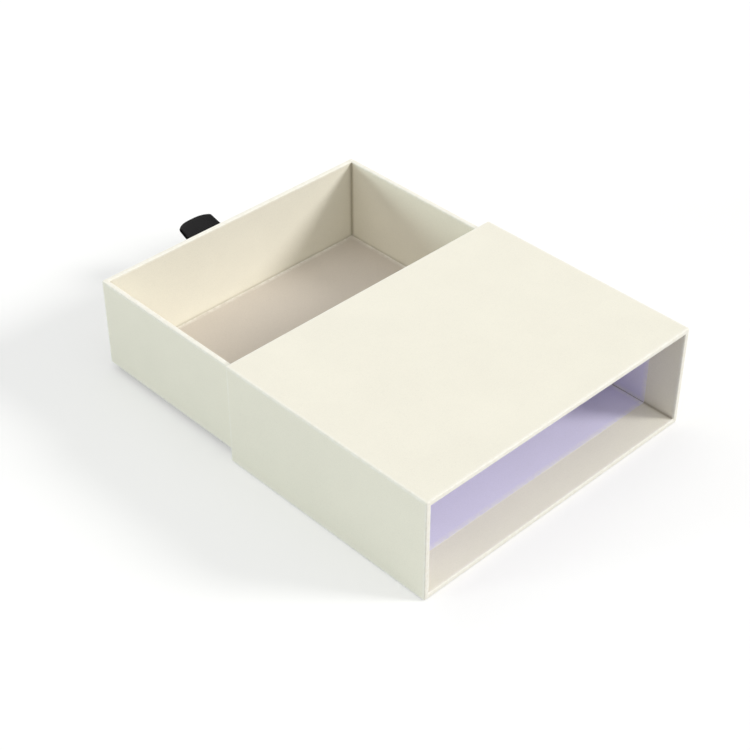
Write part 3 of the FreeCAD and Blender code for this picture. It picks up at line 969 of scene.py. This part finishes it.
@built_once("node_groups", "Ribbed Ribbon")
def ribbon_tree(name):
    """Geometry nodes: a ribbon of cross ribs that follows the incoming path, which lies in the YZ plane."""
    inputs = {"Geometry": SHAPE, "Width": 15 * MM, "Columns": 26, "Rib Pitch": 0.6 * MM,
              "Rib Depth": 0.05 * MM, "Fold Rounding": 2 * MM, "Fold Start": -124 * MM,
              "Fold End": -136 * MM, "Seed": 3}
    graph, given, made = new_shape_group(name, inputs)
    path, width, pitch = given["Geometry"], given["Width"], given["Rib Pitch"]
    length = graph.add("GeometryNodeCurveLength", {"Curve": path}).outputs["Length"]
    rows = graph.times(graph.over(length, pitch), ROWS_PER_RIB)
    values = {"Size X": width, "Size Y": length, "Vertices X": given["Columns"], "Vertices Y": rows}
    grid = graph.add("GeometryNodeMeshGrid", values)
    flat = graph.add("ShaderNodeSeparateXYZ", {"Vector": graph.point_place()}).outputs
    along = graph.plus(flat["Y"], graph.times(length, 0.5))
    kept = graph.stored(grid.outputs["Mesh"], "along", along)
    kept = graph.stored(kept, "across", flat["X"])
    along, across = graph.carried("along"), graph.carried("across")

    values = {"Curves": path, "Length": along}
    sample = graph.add("GeometryNodeSampleCurve", values, mode="LENGTH", use_all_curves=True)
    sideways = graph.add("ShaderNodeCombineXYZ", {"X": across}).outputs[0]
    upright = graph.vector("CROSS_PRODUCT", sample.outputs["Tangent"], (1.0, 0.0, 0.0))
    turn = graph.over(graph.times(along, math.tau), pitch)
    share = graph.math("ABSOLUTE", graph.over(graph.times(across, 2.0), width))
    drift = graph.plus(given["Seed"], graph.times(along, SLACK_DRIFT))
    slack = graph.swing(graph.seeded_noise(sideways, drift, 1 / SLACK_LENGTH)["Fac"], SLACK)
    height = graph.times(given["Rib Depth"], graph.mapped(share, *SELVEDGE))
    rib = graph.times(graph.math("COSINE", turn), height)
    raised = graph.scaled(upright, graph.plus(rib, slack))
    place = graph.vector("ADD", graph.vector("ADD", sample.outputs["Position"], sideways), raised)
    put = graph.add("GeometryNodeSetPosition", {"Geometry": kept, "Position": place})

    there = graph.add("ShaderNodeSeparateXYZ", {"Vector": graph.point_place()}).outputs
    near_fold = graph.mapped(there["Y"], given["Fold Start"], given["Fold End"], curve="SMOOTHSTEP")
    pulled = graph.times(graph.math("POWER", share, CORNER_POWER), near_fold)
    back = graph.times(pulled, given["Fold Rounding"])
    narrow = graph.times(graph.times(there["X"], near_fold), FOLD_NARROWING)
    shift = graph.add("ShaderNodeCombineXYZ", {"X": narrow, "Y": back}).outputs[0]
    folded = graph.add("GeometryNodeSetPosition", {"Geometry": put.outputs[0], "Offset": shift})
    smooth = graph.add("GeometryNodeSetShadeSmooth", {"Geometry": folded.outputs[0]})
    graph.finish_shape(smooth.outputs[0], given, made)


def ribbon_path(ribbon):
    """The ribbon's middle line: down behind the wall, out through the slot, round the loop and back."""
    face, seat = DRAWER_LOW.y, RIBBON_HIGH.y - RIBBON_THICKNESS / 2
    reach = face - RIBBON_LOW.y - RIBBON_THICKNESS / 2
    tail = TAIL_REACH - RIBBON_THICKNESS / 2
    upper = [(seat, tail * share) for share in TAIL_PLACES]
    upper += [(seat, SLOT_ENTRY), (seat - ENTRY_SLOPE, LAYER_OFFSET)]
    upper += [(face + EXIT_STRAIGHT, LAYER_OFFSET), (face, LAYER_OFFSET)]
    half = LAYER_OFFSET + ribbon.opening / 2
    loop = [(share, LAYER_OFFSET * opened) for share, opened in LOOP_TOGETHER]
    loop += [(share, half * opened) for share, opened in LOOP_OPEN]
    route = [(y, RIBBON_LEVEL + z) for y, z in upper]
    for side, part in ((1, loop), (-1, reversed(loop))):
        route += [
            (face - reach * share, RIBBON_LEVEL + ribbon.rise * share * share + side * opened)
            for share, opened in part
        ]
    route += [(y, RIBBON_LEVEL - z) for y, z in reversed(upper)]
    curve, spline = flat_path("ribbon_path", "NURBS", [(0.0, y, z) for y, z in route])
    curve.resolution_u = PATH_STEPS
    spline.order_u = PATH_ORDER
    spline.use_endpoint_u = True
    return curve


def build_ribbon(ribbon):
    """The ribbed ribbon, folded double, with its two tails behind the front wall."""
    values = {
        "Width": RIBBON_WIDTH,
        "Columns": ribbon.across,
        "Rib Pitch": ribbon.pitch,
        "Rib Depth": ribbon.depth,
        "Fold Rounding": ribbon.rounding,
        "Fold Start": RIBBON_LOW.y + FOLD_LENGTH,
        "Fold End": RIBBON_LOW.y,
        "Seed": RIBBON_SEED,
        "Material": ribbon_material(),
    }
    mesh = grown("pull_ribbon", ribbon_tree(), values, source=ribbon_path(ribbon))
    piece = mesh_object("pull_ribbon", mesh)
    solid = piece.modifiers.new("Ribbon thickness", "SOLIDIFY")
    solid.thickness = RIBBON_THICKNESS - 2 * ribbon.depth
    solid.offset = 0
    return piece


# ------------ stage

FLOOR_SIZE = 6.0
FULL_WHITE = 1.02
TARGET = Vector((0.002, -0.037, 0.008))
SENSOR_WIDTH = 36
CLIP_START, CLIP_END = 0.01, 20
SKY_COLOUR = (0.97, 1.0, 0.98)

# each lamp's azimuth, elevation and angular width in degrees, and its colour
LAMPS = {
    "key": (222, 28, 17, (1.0, 0.99, 0.97)),
    "top": (0, 90, 120, (1.0, 1.0, 0.99)),
    "side": (62, 7, 14, (0.88, 1.0, 0.97)),
}


def direction(azimuth, elevation):
    """From the object towards a lamp or camera that stands at these angles."""
    level = math.cos(elevation)
    return Vector((math.sin(azimuth) * level, -math.cos(azimuth) * level, math.sin(elevation)))


def stand(name, data, towards, distance=1.0, middle=Vector()):
    """Places a lamp or a camera so that it faces the middle from one side."""
    thing = bpy.data.objects.new(name, data)
    thing.location = middle + towards * distance
    thing.rotation_euler = towards.to_track_quat("Z", "Y").to_euler()
    bpy.context.scene.collection.objects.link(thing)
    return thing


def seen_ray(graph):
    """1 for rays that show the background: those of the camera, of gloss and of glass."""
    path = graph.add("ShaderNodeLightPath").outputs
    seen = graph.math("MAXIMUM", path["Is Camera Ray"], path["Is Glossy Ray"])
    return graph.math("MAXIMUM", seen, path["Is Transmission Ray"])


@built_once("materials", "floor_white")
def stage_floor_material(name):
    """A floor that looks white where it is lit, and pale grey in the object's shadow."""
    stage = bpy.context.scene.gift_box_stage
    graph = new_material(name)
    pale = graph.add("ShaderNodeBsdfDiffuse", {"Color": opaque((stage.floor,) * 3)})
    shadowed = graph.add("ShaderNodeBsdfDiffuse", {"Color": opaque((stage.shadow,) * 3)})
    glow = graph.add("ShaderNodeEmission", {"Strength": FULL_WHITE - stage.shadow})
    shown = graph.add("ShaderNodeAddShader", {0: shadowed.outputs[0], 1: glow.outputs[0]})
    mixed = graph.add("ShaderNodeMixShader", {0: seen_ray(graph), 1: pale.outputs[0], 2: shown.outputs[0]})
    graph.add("ShaderNodeOutputMaterial", {"Surface": mixed.outputs[0]})


def add_floor():
    """A wide white floor that keeps the object's soft shadow."""
    half = FLOOR_SIZE / 2
    places = [(x * half, y * half, 0) for x, y in ((-1, -1), (1, -1), (1, 1), (-1, 1))]
    mesh = bpy.data.meshes.new("floor")
    mesh.from_pydata(places, [], [(0, 1, 2, 3)])
    mesh_object("floor", mesh, stage_floor_material())


def add_light(stage):
    """A soft key light, a wide light overhead, a low side light and a plain even sky."""
    for name, (azimuth, elevation, width, colour) in LAMPS.items():
        data = bpy.data.lights.new(f"{name}_light", "SUN")
        data.energy = getattr(stage, name)
        data.angle = math.radians(width)
        data.color = colour
        stand(data.name, data, direction(math.radians(azimuth), math.radians(elevation)))
    world = bpy.data.worlds.new("sky")
    world.use_nodes = True
    world.node_tree.nodes.clear()
    graph = Graph(world.node_tree)
    fill = graph.add("ShaderNodeBackground", {"Color": opaque(SKY_COLOUR), "Strength": stage.sky})
    white = graph.add("ShaderNodeBackground", {"Color": WHITE, "Strength": 1.0})
    mixed = graph.add("ShaderNodeMixShader", {0: seen_ray(graph), 1: fill.outputs[0], 2: white.outputs[0]})
    graph.add("ShaderNodeOutputWorld", {"Surface": mixed.outputs[0]})
    bpy.context.scene.world = world


def add_camera(stage):
    """The camera, looking down on the box from beside the sleeve's open back."""
    data = bpy.data.cameras.new("camera")
    data.sensor_width = SENSOR_WIDTH
    data.lens = stage.lens
    data.clip_start, data.clip_end = CLIP_START, CLIP_END
    towards = direction(stage.azimuth, stage.elevation)
    bpy.context.scene.camera = stand("camera", data, towards, stage.distance, TARGET)


# ------------ operators


class GIFTBOX_OT_stage(bpy.types.Operator):
    """Set up the white floor, the camera and the light."""

    bl_idname = "giftbox.stage"
    bl_label = "Stage"

    def execute(self, context):
        stage = context.scene.gift_box_stage
        context.scene.view_settings.view_transform = "Standard"
        add_floor()
        add_light(stage)
        add_camera(stage)
        return {"FINISHED"}


def dress(node, material):
    """Gives a frame part a material in its own slots."""
    node.data.materials.clear()
    node.data.materials.append(material)


class GIFTBOX_OT_boards(bpy.types.Operator):
    """Give the greyboard panels and the ribbon's tape their materials, and fold the corner tapes."""

    bl_idname = "giftbox.boards"
    bl_label = "Boards and Tapes"

    def execute(self, context):
        for name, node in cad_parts.items():
            if name.endswith("_board"):
                dress(node, greyboard_material())
        dress(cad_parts["ribbon_tape"], tape_material())
        for name in sorted(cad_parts):
            if name.startswith("sleeve_stay_"):
                fold_tape(name, "sleeve", axis=1)
            elif name.startswith("drawer_stay_"):
                fold_tape(name, "drawer", axis=2)
        return {"FINISHED"}


class GIFTBOX_OT_sleeve_wrap(bpy.types.Operator):
    """Wrap the sleeve in its cover paper and paste the sheet under it."""

    bl_idname = "giftbox.sleeve_wrap"
    bl_label = "Sleeve Cover"

    def execute(self, context):
        piece = build_sleeve_wrap(context.scene.gift_box_folds)
        settle(piece, "sleeve", "sleeve_cover_paper")
        lay_sheet("sleeve_underside_sheet", "sleeve_base_sheet", "sleeve", (0, 0, 1),
                  cover_material(), seed=11)
        return {"FINISHED"}


class GIFTBOX_OT_sleeve_linings(bpy.types.Operator):
    """Paste the four lining sheets inside the sleeve."""

    bl_idname = "giftbox.sleeve_linings"
    bl_label = "Sleeve Linings"

    def execute(self, context):
        lap = context.scene.gift_box_folds.lap
        walls = (("base", (0, 0, 1)), ("top", (0, 0, -1)), ("left", (1, 0, 0)), ("right", (-1, 0, 0)))
        for seed, (wall, normal) in enumerate(walls, start=21):
            lay_sheet(f"lining_sheet_{wall}", f"sleeve_lining_{wall}", "sleeve", normal,
                      lining_material(), seed, lap, LINING_LIFT)
        return {"FINISHED"}


class GIFTBOX_OT_drawer_wrap(bpy.types.Operator):
    """Wrap the drawer in its cover paper."""

    bl_idname = "giftbox.drawer_wrap"
    bl_label = "Drawer Cover"

    def execute(self, context):
        piece = build_drawer_wrap(context.scene.gift_box_folds)
        settle(piece, "drawer", "drawer_cover_paper")
        return {"FINISHED"}


class GIFTBOX_OT_drawer_floor(bpy.types.Operator):
    """Paste the sheet on the drawer's floor."""

    bl_idname = "giftbox.drawer_floor"
    bl_label = "Drawer Floor Sheet"

    def execute(self, context):
        lay_sheet("drawer_floor_sheet", "drawer_floor_liner", "drawer", (0, 0, 1),
                  floor_sheet_material(), seed=31)
        return {"FINISHED"}


class GIFTBOX_OT_ribbon(bpy.types.Operator):
    """Weave the ribbon pull and fold it through the drawer's front."""

    bl_idname = "giftbox.ribbon"
    bl_label = "Ribbon Pull"

    def execute(self, context):
        piece = build_ribbon(context.scene.gift_box_ribbon)
        settle(piece, "drawer", "ribbon_pull")
        return {"FINISHED"}


class GIFTBOX_PT_panel(bpy.types.Panel):
    """Settings and steps of the gift box."""

    bl_label = "Gift Box"
    bl_idname = "GIFTBOX_PT_panel"
    bl_space_type = "VIEW_3D"
    bl_region_type = "UI"
    bl_category = "Gift Box"

    def draw(self, context):
        for step in STEPS:
            self.layout.operator(step.bl_idname, text=step.bl_label)
        for name in SETTINGS:
            settings = getattr(context.scene, name)
            box = self.layout.box()
            for setting in settings.__annotations__:
                box.prop(settings, setting)


STEPS = (
    GIFTBOX_OT_stage,
    GIFTBOX_OT_boards,
    GIFTBOX_OT_sleeve_wrap,
    GIFTBOX_OT_sleeve_linings,
    GIFTBOX_OT_drawer_wrap,
    GIFTBOX_OT_drawer_floor,
    GIFTBOX_OT_ribbon,
)
SETTINGS = {
    "gift_box_papers": GiftBoxPapers,
    "gift_box_folds": GiftBoxFolds,
    "gift_box_ribbon": GiftBoxRibbon,
    "gift_box_stage": GiftBoxStage,
}


def register():
    """Registers the settings, the steps and the panel."""
    for name, settings in SETTINGS.items():
        bpy.utils.register_class(settings)
        setattr(bpy.types.Scene, name, PointerProperty(type=settings))
    for step in (*STEPS, GIFTBOX_PT_panel):
        bpy.utils.register_class(step)


def unregister():
    """Takes the panel, the steps and the settings out again."""
    for step in reversed((*STEPS, GIFTBOX_PT_panel)):
        bpy.utils.unregister_class(step)
    for name, settings in SETTINGS.items():
        delattr(bpy.types.Scene, name)
        bpy.utils.unregister_class(settings)


def main():
    """Builds the whole box and its stage."""
    register()
    bpy.ops.giftbox.stage()
    bpy.ops.giftbox.boards()
    bpy.ops.giftbox.sleeve_wrap()
    bpy.ops.giftbox.sleeve_linings()
    bpy.ops.giftbox.drawer_wrap()
    bpy.ops.giftbox.drawer_floor()
    bpy.ops.giftbox.ribbon()


if __name__ == "__main__":
    main()
